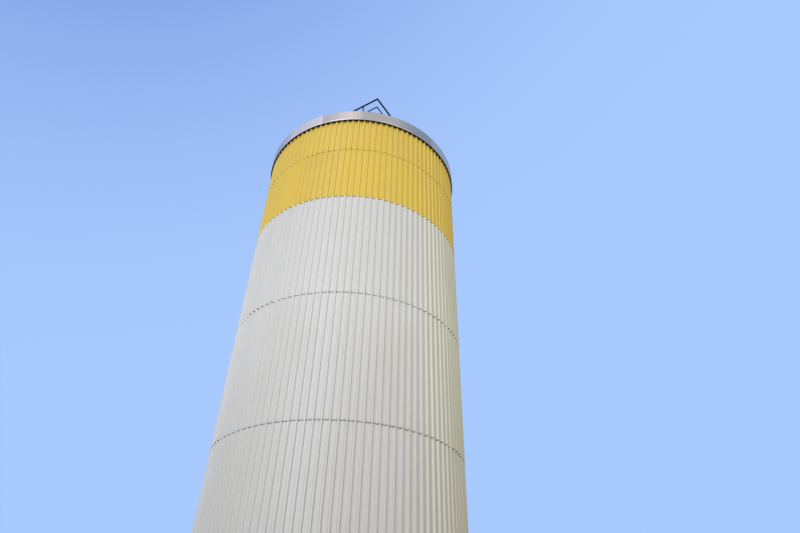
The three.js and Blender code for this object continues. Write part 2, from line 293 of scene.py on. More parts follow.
# Floor plate and wall segments
# Shop-primed mild steel plate, welded up, with its insulation outside it: the silo's real vessel.
# All of it is behind the cladding, and its solids are already right, so they only get their primer.
WALL_NODES = [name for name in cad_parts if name.startswith("wall_segment_")]


def primed_plate():
    # Grey zinc primer sprayed on rolled plate: matt, slightly cloudy, with a faint orange peel.
    material, tree, place = start_material("zinc_primed_plate")
    cloud = add_node(tree, "TexNoise", {"Vector": place, "Scale": 3.0, "Detail": 5.0})
    colour = add_node(tree, "MixRGB", {"Fac": cloud, "Color1": "#7C8082", "Color2": "#94989A"})
    spray = add_node(tree, "TexNoise", {"Vector": place, "Scale": 400.0})
    relief = add_node(tree, "Bump", {"Height": spray, "Strength": 0.1, "Distance": 0.0003})
    return finish_material(material, {"Base Color": colour, "Roughness": 0.6, "Normal": relief})


def refinish(node_names, material):
    """Gives carried-over pieces their finish."""
    for name in node_names:
        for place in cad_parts[name].material_slots:
            place.material = material


refinish([*WALL_NODES, "floor_plate"], primed_plate())


# Cladding sheets
# Coil-coated steel, rolled into narrow outward ribs and wide pans with a shallow stiffening groove.
# Sixteen sheets of seven ribs go round in each course: a sheet's last rib covers its neighbour's first,
# and its foot stands out over the course below, which sheds the rain.
RIBS = 112
RIBS_PER_SHEET = 7
SHEETS = RIBS // RIBS_PER_SHEET
RIB_STEP_DEG = 360 / RIBS
SHEET_STEP_DEG = 360 / SHEETS
CREST_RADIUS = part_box("cladding_white_1")[1].x
RIB_DEPTH = 0.038
PAN_RADIUS = CREST_RADIUS - RIB_DEPTH

# Across the sheet, places are counted in ribs.
HALF_CREST = 0.11
HALF_FOOT = 0.23
HALF_GROOVE = 0.035
GROOVE_SLOPE = 0.03

GROOVE_DEPTH = 0.0022
SHEET_THICKNESS = 0.0010
SIDE_LAP_LIFT = 0.0016
BEND_RADIUS = 0.0045
FOOT_STANDS_OUT = 0.0021
HEAD_RUNS_UP = 0.060
SHEET_SWING_DEG = 0.01
FIRST_RIB_DEG = 0.57
SHEET_CREASE_DEG = 40
COURSES = ("white_1", "white_2", "white_3", "white_4", "yellow_1", "yellow_2")

# Greyer towards the ground: partly dust, partly painted shade for the lower wall's dimmer light.
DUST_AND_SHADE = "#8E8A80"
DUST_AND_SHADE_FROM = 1.0
DUST_AND_SHADE_TO = 8.2
DUST_AND_SHADE_SHARE = 0.46
# A faint warm painted light on the side towards this bearing, in place of the warm light that falls there.
WARM_LIGHT_BEARING = 23
WARM_LIGHT_FROM = 1.7
WARM_LIGHT_TO = 2.6
PAINTED_WARM_LIGHT = "#FFFDE8"

chance = random.Random(112)


def extrude(offset):
    """In edit mode, draws out what is selected."""
    bpy.ops.mesh.extrude_region_move(TRANSFORM_OT_translate={"value": offset})


def draw_line(points):
    """Draws a bent line in edit mode: one vertex, extruded from point to point."""
    bpy.ops.object.select_all(action="DESELECT")
    bpy.ops.mesh.primitive_plane_add(location=points[0])
    bpy.ops.object.mode_set(mode="EDIT")
    bpy.ops.mesh.select_mode(type="VERT")
    bpy.ops.mesh.merge(type="CENTER")
    for here, there in zip(points, points[1:]):
        extrude(there - here)
    bpy.ops.mesh.select_all(action="SELECT")
    return bpy.context.object


def round_corners(radius):
    """In edit mode, rounds a bent line's corners and selects all of it."""
    bpy.ops.mesh.bevel(offset=radius, segments=2, affect="VERTICES")
    bpy.ops.mesh.select_all(action="SELECT")


def align_faces():
    """In edit mode, makes all faces agree, so that a closed body's look out."""
    bpy.ops.mesh.select_all(action="SELECT")
    bpy.ops.mesh.normals_make_consistent(inside=False)


def face_out(piece):
    """Makes an open sheet's faces agree, and flips them all if they face the silo's axis or the ground."""
    align_faces()
    shape = bmesh.from_edit_mesh(piece.data)
    out = 0.0
    for face in shape.faces:
        centre = face.calc_center_median()
        away = Vector((centre.x, centre.y, 0)).normalized() + Vector((0, 0, 1))
        out += face.calc_area() * face.normal.dot(away)
    if out < 0:
        bpy.ops.mesh.flip_normals()


def apply_modifier(piece, kind, **settings):
    """Adds a modifier with its settings to the piece and applies it."""
    bpy.context.view_layer.objects.active = piece
    modifier = piece.modifiers.new(kind.lower(), kind)
    for name, value in settings.items():
        setattr(modifier, name, value)
    bpy.ops.object.modifier_apply(modifier=modifier.name)


def placed(pattern, matrix):
    """A copy with its own mesh, moved by the matrix."""
    copy = pattern.copy()
    copy.data = pattern.data.copy()
    copy.data.transform(matrix)
    bpy.context.collection.objects.link(copy)
    return copy


def turned(pattern, angle_deg):
    """A copy with its own mesh, turned about the silo's axis."""
    return placed(pattern, Matrix.Rotation(math.radians(angle_deg), 4, "Z"))


def join(pieces):
    """Joins the pieces into the first."""
    bpy.ops.object.select_all(action="DESELECT")
    for piece in pieces:
        piece.select_set(True)
    bpy.context.view_layer.objects.active = pieces[0]
    if len(pieces) > 1:
        bpy.ops.object.join()
    return pieces[0]


def discard(piece):
    mesh = piece.data
    bpy.data.objects.remove(piece)
    bpy.data.meshes.remove(mesh)


def rib_points(ribs):
    """Plan points over a run of ribs and the pans after them."""
    points = []
    for rib in ribs:
        lift = SIDE_LAP_LIFT if rib == RIBS_PER_SHEET else 0.0
        points.append((rib - HALF_FOOT, PAN_RADIUS))
        points.append((rib - HALF_CREST, CREST_RADIUS - SIDE_LAP_LIFT + lift))
        points.append((rib + HALF_CREST, CREST_RADIUS - SIDE_LAP_LIFT + lift))
        points.append((rib + HALF_FOOT, PAN_RADIUS + lift))
        if rib < RIBS_PER_SHEET:
            points.append((rib + 0.5 - HALF_GROOVE - GROOVE_SLOPE, PAN_RADIUS))
            points.append((rib + 0.5 - HALF_GROOVE, PAN_RADIUS - GROOVE_DEPTH))
            points.append((rib + 0.5 + HALF_GROOVE, PAN_RADIUS - GROOVE_DEPTH))
            points.append((rib + 0.5 + HALF_GROOVE + GROOVE_SLOPE, PAN_RADIUS))
    return [on_bearing(at * RIB_STEP_DEG) * radius for at, radius in points]


def tag_sheet(piece, tone):
    """Stores the sheet's tone (its batch of paint; on the rim, partly a painted highlight) and how far up
    the sheet each point lies.
    """
    heights = [vertex.co.z for vertex in piece.data.vertices]
    foot, head = min(heights), max(heights)
    tone_and_highlight = piece.data.attributes.new("sheet_tone_and_highlight", "FLOAT", "POINT")
    tone_and_highlight.data.foreach_set("value", [tone] * len(heights))
    share = piece.data.attributes.new("up_the_sheet", "FLOAT", "POINT")
    share.data.foreach_set("value", [(height - foot) / (head - foot) for height in heights])


def rolled_sheet(foot, head):
    """One sheet: a line of ribs drawn in plan, drawn up to the sheet's height and given its thickness."""
    outline = rib_points(range(RIBS_PER_SHEET + 1))
    sheet = draw_line([point + Vector((0, 0, foot)) for point in outline[1:]])
    round_corners(BEND_RADIUS)
    extrude((0, 0, head - foot))
    face_out(sheet)
    shape = bmesh.from_edit_mesh(sheet.data)
    bpy.ops.mesh.select_all(action="DESELECT")
    for vertex in shape.verts:
        if (sheet.matrix_world @ vertex.co).z < (foot + head) / 2:
            vertex.select_set(True)
    bmesh.update_edit_mesh(sheet.data)
    flare = (PAN_RADIUS + FOOT_STANDS_OUT) / PAN_RADIUS
    bpy.ops.transform.resize(value=(flare, flare, 1), center_override=(0, 0, 0))
    sheet = apply_place()
    apply_modifier(sheet, "SOLIDIFY", thickness=SHEET_THICKNESS, offset=-1.0)
    return sheet


def coil_coated(name, fresh, faded, grime):
    # Polyester paint baked on steel strip: an even satin skin. Sun has chalked it a little from sheet to
    # sheet, rain has drawn faint upright streaks down it, and it greys towards the ground, partly with dust
    # and partly as painted shade for the lower wall's dimmer light. The side towards bearing 23 degrees gets
    # a faint warm painted light, and the thin steel is very slightly wavy.
    material, tree, place = start_material(name)
    tone_and_highlight = add_node(tree, "Attribute", attribute_name="sheet_tone_and_highlight").outputs["Fac"]
    up_the_sheet = add_node(tree, "Attribute", attribute_name="up_the_sheet").outputs["Fac"]
    cloud = add_node(tree, "TexNoise", {"Vector": place, "Scale": 0.9, "Detail": 3.0})
    wear = add_node(tree, "MapRange", {"Value": cloud, "From Min": 0.3, "From Max": 0.7, "To Max": 0.6})
    aged = add_node(tree, "Math", {0: wear, 1: tone_and_highlight}, operation="MULTIPLY")
    paint = add_node(tree, "MixRGB", {"Fac": aged, "Color1": fresh, "Color2": faded})
    drawn_down = add_node(tree, "Mapping", {"Vector": place, "Scale": (9.0, 9.0, 0.35)})
    runs = add_node(tree, "TexNoise", {"Vector": drawn_down, "Scale": 1.0, "Detail": 5.0})
    streaks = add_node(tree, "MapRange", {"Value": runs, "From Min": 0.52, "From Max": 0.8, "To Max": 0.12})
    below_lap = add_node(tree, "MapRange", {
        "Value": up_the_sheet, "From Min": 0.55, "From Max": 1.0, "To Min": 0.35, "To Max": 1.0,
    })
    dirt = add_node(tree, "Math", {0: streaks, 1: below_lap}, operation="MULTIPLY")
    streaked = add_node(tree, "MixRGB", {"Fac": dirt, "Color1": paint, "Color2": grime})
    # Painted shade, partly dust: the paint greys towards the ground.
    above_ground = add_node(tree, "SeparateXYZ", {"Vector": place}).outputs["Z"]
    dust_and_shade = add_node(tree, "MapRange", {
        "Value": above_ground,
        "From Min": DUST_AND_SHADE_FROM,
        "From Max": DUST_AND_SHADE_TO,
        "To Min": DUST_AND_SHADE_SHARE,
        "To Max": 0.0,
    })
    dusted_and_shaded = add_node(tree, "MixRGB", {"Fac": dust_and_shade, "Color1": streaked, "Color2": DUST_AND_SHADE})
    # Painted warm light: a faint warm tint on the side towards bearing 23 degrees.
    towards_warm_light = {0: place, 1: on_bearing(WARM_LIGHT_BEARING)}
    warm_light_share = add_node(tree, "MapRange", {
        "Value": add_node(tree, "VectorMath", towards_warm_light, operation="DOT_PRODUCT").outputs["Value"],
        "From Min": WARM_LIGHT_FROM,
        "From Max": WARM_LIGHT_TO,
    })
    colour = add_node(tree, "MixRGB", {
        "Fac": warm_light_share, "Color1": dusted_and_shaded, "Color2": PAINTED_WARM_LIGHT,
    }, blend_type="MULTIPLY")
    gloss = add_node(tree, "MapRange", {"Value": runs, "To Min": 0.36, "To Max": 0.5})
    wave = add_node(tree, "TexNoise", {"Vector": place, "Scale": 2.6, "Detail": 1.0})
    relief = add_node(tree, "Bump", {"Height": wave, "Strength": 0.25, "Distance": 0.004})
    return finish_material(material, {
        "Base Color": colour,
        "Roughness": gloss,
        "IOR": 1.5,
        "Normal": relief,
    })


PAINTS = {
    "white": coil_coated("white_coil_coated_steel", "#E4E4E2", "#DCDBD6", "#A9A69B"),
    "yellow": coil_coated("yellow_coil_coated_steel", "#EED055", "#E6C95C", "#A8924C"),
}


def weighted_normals(piece):
    """Shades a piece smooth up to its creases, with its large faces kept flat."""
    bpy.ops.object.select_all(action="DESELECT")
    piece.select_set(True)
    bpy.context.view_layer.objects.active = piece
    bpy.ops.object.shade_smooth_by_angle(angle=math.radians(SHEET_CREASE_DEG))
    apply_modifier(piece, "WEIGHTED_NORMAL", weight=80, keep_sharp=True)


for course in COURSES:
    node = "cladding_" + course
    paint = course.split("_")[0]
    low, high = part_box(node)
    top = high.z if course == COURSES[-1] else high.z + HEAD_RUNS_UP
    pattern = rolled_sheet(low.z, top)
    sheets = []
    for place in range(SHEETS):
        swing = chance.uniform(-SHEET_SWING_DEG, SHEET_SWING_DEG)
        turn = FIRST_RIB_DEG + place * RIBS_PER_SHEET * RIB_STEP_DEG + swing
        sheet = turned(pattern, turn)
        tag_sheet(sheet, chance.random())
        sheets.append(sheet)
    discard(pattern)
    sheets = join(sheets)
    weighted_normals(sheets)
    hang(sheets, "sheets_" + course, PAINTS[paint], "cladding_" + paint, node)


# Cladding screws
# Self-drilling hexagon screws on wide washers, coated to match the sheets. There is one in every pan at
# a course's foot and one in about every other pan at the two rails above. Blind rivets stitch each sheet's
# last rib to its neighbour's first.
SCREW = {"across": 0.0095, "head": 0.0055, "washer": 0.0016, "washer_radius": 0.0085}
SCREW_BESIDE_RIB = 0.335
SCREW_ABOVE_FOOT = 0.045
SCREW_SUNK = 0.0003
STITCH_STEP = 0.46
BOLT_CHAMFER = 0.08


def hex_bolt(across, head, washer, washer_radius):
    """A hexagon bolt's head on its washer, standing up from the origin."""
    add_rod(16, washer_radius, washer, (0, 0, washer / 2))
    disc = apply_place()
    nut = add_rod(6, across / math.sqrt(3), head, (0, 0, washer + head / 2))
    edit(nut)
    select_top(nut)
    bpy.ops.mesh.bevel(offset=across * BOLT_CHAMFER, segments=1, affect="EDGES")
    nut = apply_place()
    return join([disc, nut])


def pop_rivet(radius, proud):
    """A low domed rivet head at the origin that stands out along X."""
    bpy.ops.object.select_all(action="DESELECT")
    bpy.ops.mesh.primitive_uv_sphere_add(
        segments=10, ring_count=6, radius=radius, rotation=(0, math.pi / 2, 0),
    )
    bpy.ops.transform.resize(value=(proud / radius, 1, 1))
    rivet = apply_place()
    bpy.ops.object.shade_smooth()
    return rivet


def set_out(pattern, seats):
    """Copies of a small fastener, each seated at a radius, bearing and height."""
    copies = []
    for radius, bearing_deg, height in seats:
        turn = Matrix.Rotation(math.radians(bearing_deg), 4, "Z")
        copies.append(placed(pattern, turn @ Matrix.Translation((radius, 0, height))))
    return copies


def sheet_radius(radius, share):
    """The radius of a point of a sheet, a share of the way up from its flared foot."""
    return radius * (1 + (1 - share) * FOOT_STANDS_OUT / PAN_RADIUS)


screw = hex_bolt(**SCREW)
screw.data.transform(Matrix.Rotation(math.pi / 2, 4, "Y"))
stitch = pop_rivet(radius=0.0050, proud=0.0020)
for course in COURSES:
    low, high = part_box("cladding_" + course)
    rise = high.z - low.z
    seats = []
    for rib in range(RIBS_PER_SHEET):
        heights = [SCREW_ABOVE_FOOT] + ([rise / 3, rise * 2 / 3] if rib % 2 == 0 else [])
        for above in heights:
            seat = sheet_radius(PAN_RADIUS, above / rise) - SCREW_SUNK
            seats.append((seat, (rib + SCREW_BESIDE_RIB) * RIB_STEP_DEG, low.z + above))
    stitches = []
    for step in range(round(rise / STITCH_STEP)):
        above = (step + 0.5) * STITCH_STEP
        seat = sheet_radius(CREST_RADIUS, above / rise)
        stitches.append((seat, RIBS_PER_SHEET * RIB_STEP_DEG, low.z + above))
    pattern = join([*set_out(screw, seats), *set_out(stitch, stitches)])
    copies = [turned(pattern, FIRST_RIB_DEG + place * SHEET_STEP_DEG) for place in range(SHEETS)]
    discard(pattern)
    paint = course.split("_")[0]
    hang(join(copies), "screws_" + course, PAINTS[paint], "cladding_" + paint)
discard(screw)
discard(stitch)


# Foam closures and painted gap shade
# Strips of black closed-cell foam, die-cut to the ribs. One is laid between each course's foot and the
# course below, and shows below the edge as a thin dark line. Beside the ribs it reaches lower: there the
# black strip is painted shade, standing in for the dark gap under the sheet's foot. Where the colour changes
# there is one in each pan only, its showing edge standing in for the shade there. A deeper one closes the
# ribs under the rim band; its black is partly the real filler, partly painted shade of the cavity.
# How far the black strips show below the sheet feet; beside the ribs they reach lower, as painted shade of
# the gaps there.
WHITE_JOINT = {"shade_drop": 0.018, "shows": 0.002}
CLOSURES = {
    "white_1": WHITE_JOINT,
    "white_2": WHITE_JOINT,
    "white_3": WHITE_JOINT,
    "white_4": {"shade_drop": 0.018, "shows": 0.012},
    "yellow_1": {"shade_drop": 0.007, "shows": 0.002},
}
CLOSURE_HEIGHT = 0.024
CLOSURE_DEPTH = 0.0008
CLOSURE_PLAY = 0.0002
CLOSURE_IN_PANS = "white_4"
RIM_CLOSURE_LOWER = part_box("rim_band_1")[0].z + 0.0115
RIM_CLOSURE_RADIUS = 2.7105


def black_foam_and_gap_shade():
    # Black EPDM foam swallows light: very dark, dead matt, with a fine cut-cell grain.
    # Where it shows below the sheets it is also painted shade, a dark strip in place of the shade in the
    # gaps.
    material, tree, place = start_material("black_foam_and_painted_gap_shade")
    cells = add_node(tree, "TexVoronoi", {"Vector": place, "Scale": 600.0})
    grain = add_node(tree, "MixRGB", {"Fac": cells, "Color1": "#0B0B0C", "Color2": "#1B1B1D"})
    relief = add_node(tree, "Bump", {"Height": cells, "Strength": 0.4, "Distance": 0.001})
    return finish_material(material, {"Base Color": grain, "Roughness": 0.95, "Normal": relief})


def rib_line(height, shade_drop=0.0, pan_only=False):
    """A line in edit mode along the outside of seven ribs and pans, or of one pan, lower beside the ribs,
    where the dark strip is painted gap shade.
    """
    crest = CREST_RADIUS - SIDE_LAP_LIFT
    points = []
    for rib in range(1 if pan_only else RIBS_PER_SHEET):
        points += [
            (rib - HALF_CREST, crest, 0),
            (rib + HALF_CREST, crest, 0),
            (rib + HALF_FOOT, PAN_RADIUS, shade_drop),
            (rib + 0.5, PAN_RADIUS, 0),
            (rib + 1 - HALF_FOOT, PAN_RADIUS, shade_drop),
        ]
    points.append((points[-1][0] + HALF_FOOT - HALF_CREST, crest, 0))
    places = [
        on_bearing(at * RIB_STEP_DEG) * (radius + CLOSURE_PLAY) + Vector((0, 0, height - drop))
        for at, radius, drop in points
    ]
    line = draw_line(places[1:] if pan_only else places)
    round_corners(BEND_RADIUS)
    return line


def closure_ring(strip, copies, name, material, slot):
    """Copies of a strip round the silo."""
    ring = [turned(strip, FIRST_RIB_DEG + place * 360 / copies) for place in range(copies)]
    discard(strip)
    hang(join(ring), name, material, slot)


foam_and_shade = black_foam_and_gap_shade()
for course, closure in CLOSURES.items():
    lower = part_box("cladding_" + course)[1].z - closure["shows"]
    in_pans = course == CLOSURE_IN_PANS
    strip = rib_line(lower, closure["shade_drop"] - closure["shows"], in_pans)
    extrude((0, 0, CLOSURE_HEIGHT))
    face_out(strip)
    strip = apply_place()
    apply_modifier(strip, "SOLIDIFY", thickness=CLOSURE_DEPTH, offset=1.0)
    paint = course.split("_")[0]
    closure_ring(strip, RIBS if in_pans else SHEETS, "closure_" + course, foam_and_shade, "cladding_" + paint)

# Under the rim band the black strip is partly the real filler and partly painted shade of the cavity.
strip = rib_line(RIM_CLOSURE_LOWER)
extrude((0, 0, 0))
shape = bmesh.from_edit_mesh(strip.data)
for vertex in shape.verts:
    if vertex.select:
        place = strip.matrix_world @ vertex.co
        place.xy = place.xy.normalized() * RIM_CLOSURE_RADIUS
        vertex.co = strip.matrix_world.inverted() @ place
bmesh.update_edit_mesh(strip.data)
face_out(strip)
strip = apply_place()
apply_modifier(strip, "SOLIDIFY", thickness=CLOSURE_HEIGHT, offset=1.0)
closure_ring(strip, SHEETS, "closure_rim", foam_and_shade, "rim_sheet")


# Base flashing
# White coated sheet folded into a sloping ledge with a turned-down front and a hemmed edge, which throws
# the rain clear of the plinth. It comes in sixteen lengths, each lapped over the next and riveted.
FLASHING_SECTION = [
    (2.6215, 0.1115),
    (2.6800, 0.1060),
    (2.6840, 0.1000),
    (2.6840, 0.0635),
    (2.6815, 0.0615),
    (2.6800, 0.0700),
]
FLASHING_BEND = 0.002
FLASHING_THICKNESS = 0.0010
FLASHING_START_DEG = 3.0
FLASHING_RIVET_RADIUS = 2.6854
FLASHING_RIVET_HEIGHTS = (0.074, 0.092)
LENGTH_STEPS = 8
JOGGLE_DEG = 0.12
END_LAP_DEG = 0.85
END_LAP_LIFT = 0.0014
SEAM_DEG = SHEET_STEP_DEG + JOGGLE_DEG + END_LAP_DEG / 2


def spin(steps, angle_deg):
    """In edit mode, spins what is selected about the silo's axis."""
    bpy.ops.mesh.spin(steps=steps, angle=math.radians(angle_deg), center=(0, 0, 0), axis=(0, 0, 1))


def lapped_length(section, bend, thickness):
    """One length of folded sheet: its section spun round the axis, with an end that lifts over the next."""
    length = draw_line([Vector((radius, 0, height)) for radius, height in section])
    round_corners(bend)
    spin(LENGTH_STEPS, SHEET_STEP_DEG)
    spin(1, JOGGLE_DEG)
    lift = 1 + END_LAP_LIFT / section[0][0]
    bpy.ops.transform.resize(value=(lift, lift, 1), center_override=(0, 0, 0))
    spin(1, END_LAP_DEG)
    face_out(length)
    length = apply_place()
    apply_modifier(length, "SOLIDIFY", thickness=thickness, offset=-1.0)
    return length


length = lapped_length(FLASHING_SECTION, FLASHING_BEND, FLASHING_THICKNESS)
rivet = pop_rivet(radius=0.0045, proud=0.0018)
pieces = []
for place in range(SHEETS):
    turn = FLASHING_START_DEG + place * SHEET_STEP_DEG
    pieces.append(turned(length, turn))
    seats = [(FLASHING_RIVET_RADIUS, turn + SEAM_DEG, height) for height in FLASHING_RIVET_HEIGHTS]
    pieces += set_out(rivet, seats)
discard(length)
discard(rivet)
flashing = join(pieces)
weighted_normals(flashing)
hang(flashing, "base_flashing_sheets", PAINTS["white"], "flashing", "base_flashing")


# Rim band
# Sixteen sheets of satin stainless steel, folded over the roof's edge, with a drip bead rolled along the
# foot: a narrow ledge above and a face below that leans in and catches the low light. Each sheet is lapped
# over the next with a row of rivets, and each has its own brightness: partly a different coil, partly a
# painted highlight, brightest on the sheets that face the key light.
RIM_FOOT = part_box("rim_band_1")[0].z
RIM_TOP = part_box("rim_band_1")[1].z
RIM_RADIUS = 2.7130
RIM_SECTION = [
    (RIM_RADIUS - 0.0070, RIM_FOOT + 0.0100),
    (RIM_RADIUS - 0.0065, RIM_FOOT + 0.0008),
    (RIM_RADIUS - 0.0008, RIM_FOOT + 0.0008),
    (RIM_RADIUS + 0.0036, RIM_FOOT + 0.0420),
    (RIM_RADIUS, RIM_FOOT + 0.0480),
    (RIM_RADIUS, RIM_TOP - 0.0030),
    (RIM_RADIUS - 0.0560, RIM_TOP - 0.0010),
]
RIM_BEND = 0.0015
RIM_THICKNESS = 0.0010
RIM_START_DEG = -55.1
RIM_RIVET_HEIGHTS = (0.060, 0.165, 0.270)
RIM_SEGMENTS = 8
# How light each rim sheet's skin is: partly a different coil, partly a painted highlight on the sheets that
# face the key light.
RIM_TONES_AND_HIGHLIGHT = (0.21, 0.10, 0.02, 0.28, 0.47, 0.35, 0.50, 0.41, 0.32, 0.44, 0.38, 0.53, 0.44, 0.95, 0.62, 1.00)


def satin_stainless():
    # Cold-rolled stainless sheet with a dull brushed skin: it mirrors the sky softly, and its warm skin
    # colour paints that reflection a little warmer than the sky. Fine upright smears come from rain and
    # hands. Each sheet's stored tone lightens its skin: partly another coil, partly a painted highlight.
    material, tree, place = start_material("satin_stainless_sheet")
    smear = add_node(tree, "Mapping", {"Vector": place, "Scale": (14.0, 14.0, 1.2)})
    runs = add_node(tree, "TexNoise", {"Vector": smear, "Scale": 1.0, "Detail": 6.0})
    cloud = add_node(tree, "TexNoise", {"Vector": place, "Scale": 1.6, "Detail": 3.0})
    mixed = add_node(tree, "Math", {0: runs, 1: cloud}, operation="MULTIPLY")
    stain = add_node(tree, "MapRange", {"Value": mixed, "From Min": 0.15, "From Max": 0.4, "To Max": 0.38})
    # Painted highlight, partly coil tone: each sheet's stored tone lightens its skin.
    tone_and_highlight = add_node(tree, "Attribute", attribute_name="sheet_tone_and_highlight").outputs["Fac"]
    skin = add_node(tree, "MixRGB", {"Fac": tone_and_highlight, "Color1": "#B6A795", "Color2": "#F6E6D5"})
    colour = add_node(tree, "MixRGB", {"Fac": stain, "Color1": skin, "Color2": "#B9AD9F"})
    lustre = add_node(tree, "MapRange", {
        "Value": mixed, "From Min": 0.1, "From Max": 0.45, "To Min": 0.30, "To Max": 0.42,
    })
    ripple = add_node(tree, "TexNoise", {"Vector": place, "Scale": 3.5, "Detail": 1.0})
    relief = add_node(tree, "Bump", {"Height": ripple, "Strength": 0.5, "Distance": 0.003})
    return finish_material(material, {
        "Base Color": colour,
        "Metallic": 1.0,
        "Roughness": lustre,
        "Normal": relief,
    })


stainless = satin_stainless()
length = lapped_length(RIM_SECTION, RIM_BEND, RIM_THICKNESS)
rivet = pop_rivet(radius=0.0055, proud=0.0024)
for segment in range(RIM_SEGMENTS):
    node = f"rim_band_{segment + 1}"
    low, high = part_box(node)
    middle = math.degrees(math.atan2(low.y + high.y, low.x + high.x))
    first = round((middle - RIM_START_DEG) / SHEET_STEP_DEG) - 1
    pieces = []
    for place in (first, first + 1):
        turn = RIM_START_DEG + place * SHEET_STEP_DEG
        sheet = turned(length, turn)
        # The rim sheet's tone is partly its coil and partly a painted highlight.
        tag_sheet(sheet, RIM_TONES_AND_HIGHLIGHT[place % SHEETS])
        pieces.append(sheet)
        radius = RIM_RADIUS + END_LAP_LIFT
        seats = [(radius, turn + SEAM_DEG, RIM_FOOT + height) for height in RIM_RIVET_HEIGHTS]
        pieces += set_out(rivet, seats)
    band = join(pieces)
    weighted_normals(band)
    hang(band, f"rim_sheets_{segment + 1}", stainless, "rim_sheet", node)
discard(length)
discard(rivet)


# Roof deck
# Stainless gores laid on the roof's low cone, lapped along sixteen raised beads and covered at the middle
# by a round crown sheet. Rain dries on it, so it is duller and more stained than the rim band.
ROOF_EDGE = 2.700
ROOF_BREAK = 2.560
ROOF_FALL = 0.045
ROOF_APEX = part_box("roof_deck")[1].z
ROOF_THICKNESS = 0.0015
GORE_FACETS = 128
GORE_UNDER_CROWN = 0.05
CROWN_RADIUS = 0.72
CROWN_FACETS = 96
CROWN_LIFT = 0.0025
CROWN_HEM = (0.002, 0.0003)
BEAD_HALF = 0.016
BEAD_HEIGHT = 0.011
BEAD_OUTER = 2.600
BEAD_UNDER_CROWN = 0.03
BEAD_END = (1, 0.5, 0.2)
BEAD_START_DEG = 11.25
HATCH_NECK_RADIUS = 0.300
MERGE = 0.00001


def roof_top(radius):
    """The height of the roof's surface at a radius."""
    return ROOF_APEX - ROOF_FALL * min(radius, ROOF_BREAK)


def weathered_stainless():
    # The same sheet lying flat: dust and dried puddles leave it greyer, matter and blotched.
    material, tree, place = start_material("weathered_stainless_roof_sheet")
    puddle = add_node(tree, "TexNoise", {"Vector": place, "Scale": 2.4, "Detail": 6.0})
    dust = add_node(tree, "MapRange", {"Value": puddle, "From Min": 0.3, "From Max": 0.75})
    speck = add_node(tree, "TexNoise", {"Vector": place, "Scale": 45.0, "Detail": 3.0})
    colour = add_node(tree, "MixRGB", {"Fac": dust, "Color1": "#BDB7B0", "Color2": "#A59F96"})
    lustre = add_node(tree, "MapRange", {"Value": dust, "To Min": 0.45, "To Max": 0.65})
    relief = add_node(tree, "Bump", {"Height": speck, "Strength": 0.15, "Distance": 0.001})
    return finish_material(material, {
        "Base Color": colour,
        "Metallic": 0.65,
        "Roughness": lustre,
        "Normal": relief,
    })


def spin_full(steps):
    """In edit mode, spins what is selected once round the silo's axis and merges what meets."""
    spin(steps, 360)
    bpy.ops.mesh.select_all(action="SELECT")
    bpy.ops.mesh.remove_doubles(threshold=MERGE)


def spun_sheet(section, steps):
    """A section spun about the silo's axis, facing up and out, with its thickness below it."""
    sheet = draw_line([Vector((radius, 0, height)) for radius, height in section])
    spin_full(steps)
    face_out(sheet)
    sheet = apply_place()
    apply_modifier(sheet, "SOLIDIFY", thickness=ROOF_THICKNESS, offset=-1.0)
    return sheet


def add_disc(radius, middle, turn=(0, 0, 0)):
    """Adds a round face to draw a bar out of, in edit mode."""
    bpy.ops.object.select_all(action="DESELECT")
    bpy.ops.mesh.primitive_circle_add(
        vertices=12, radius=radius, fill_type="NGON", location=middle, rotation=turn,
    )
    bpy.ops.object.mode_set(mode="EDIT")


def roof_bead():
    """A half-round bead that lies along one gore's lap, from under the crown sheet to near the edge."""
    inner = CROWN_RADIUS - BEAD_UNDER_CROWN
    add_disc(BEAD_HALF, (inner, 0, roof_top(inner)), (0, math.pi / 2, 0))
    bpy.ops.transform.resize(value=(1, 1, BEAD_HEIGHT / BEAD_HALF))
    run = ROOF_BREAK - inner
    extrude((run, 0, -ROOF_FALL * run))
    extrude((BEAD_OUTER - ROOF_BREAK, 0, 0))
    bpy.ops.transform.resize(value=BEAD_END)
    align_faces()
    return apply_place()


gore_inner = CROWN_RADIUS - GORE_UNDER_CROWN
gore_section = [
    (gore_inner, roof_top(gore_inner)),
    (ROOF_BREAK, roof_top(ROOF_BREAK)),
    (ROOF_EDGE, roof_top(ROOF_BREAK)),
]
crown_section = [
    (HATCH_NECK_RADIUS, roof_top(HATCH_NECK_RADIUS) + CROWN_LIFT),
    (CROWN_RADIUS, roof_top(CROWN_RADIUS) + CROWN_LIFT),
    (CROWN_RADIUS + CROWN_HEM[0], roof_top(CROWN_RADIUS) + CROWN_HEM[1]),
]
gores = spun_sheet(gore_section, GORE_FACETS)
crown = spun_sheet(crown_section, CROWN_FACETS)
bead = roof_bead()
beads = [turned(bead, BEAD_START_DEG + place * SHEET_STEP_DEG) for place in range(SHEETS)]
discard(bead)
roof = join([gores, crown, *beads])
weighted_normals(roof)
hang(roof, "roof_sheets", weathered_stainless(), "roof_sheet", "roof_deck")


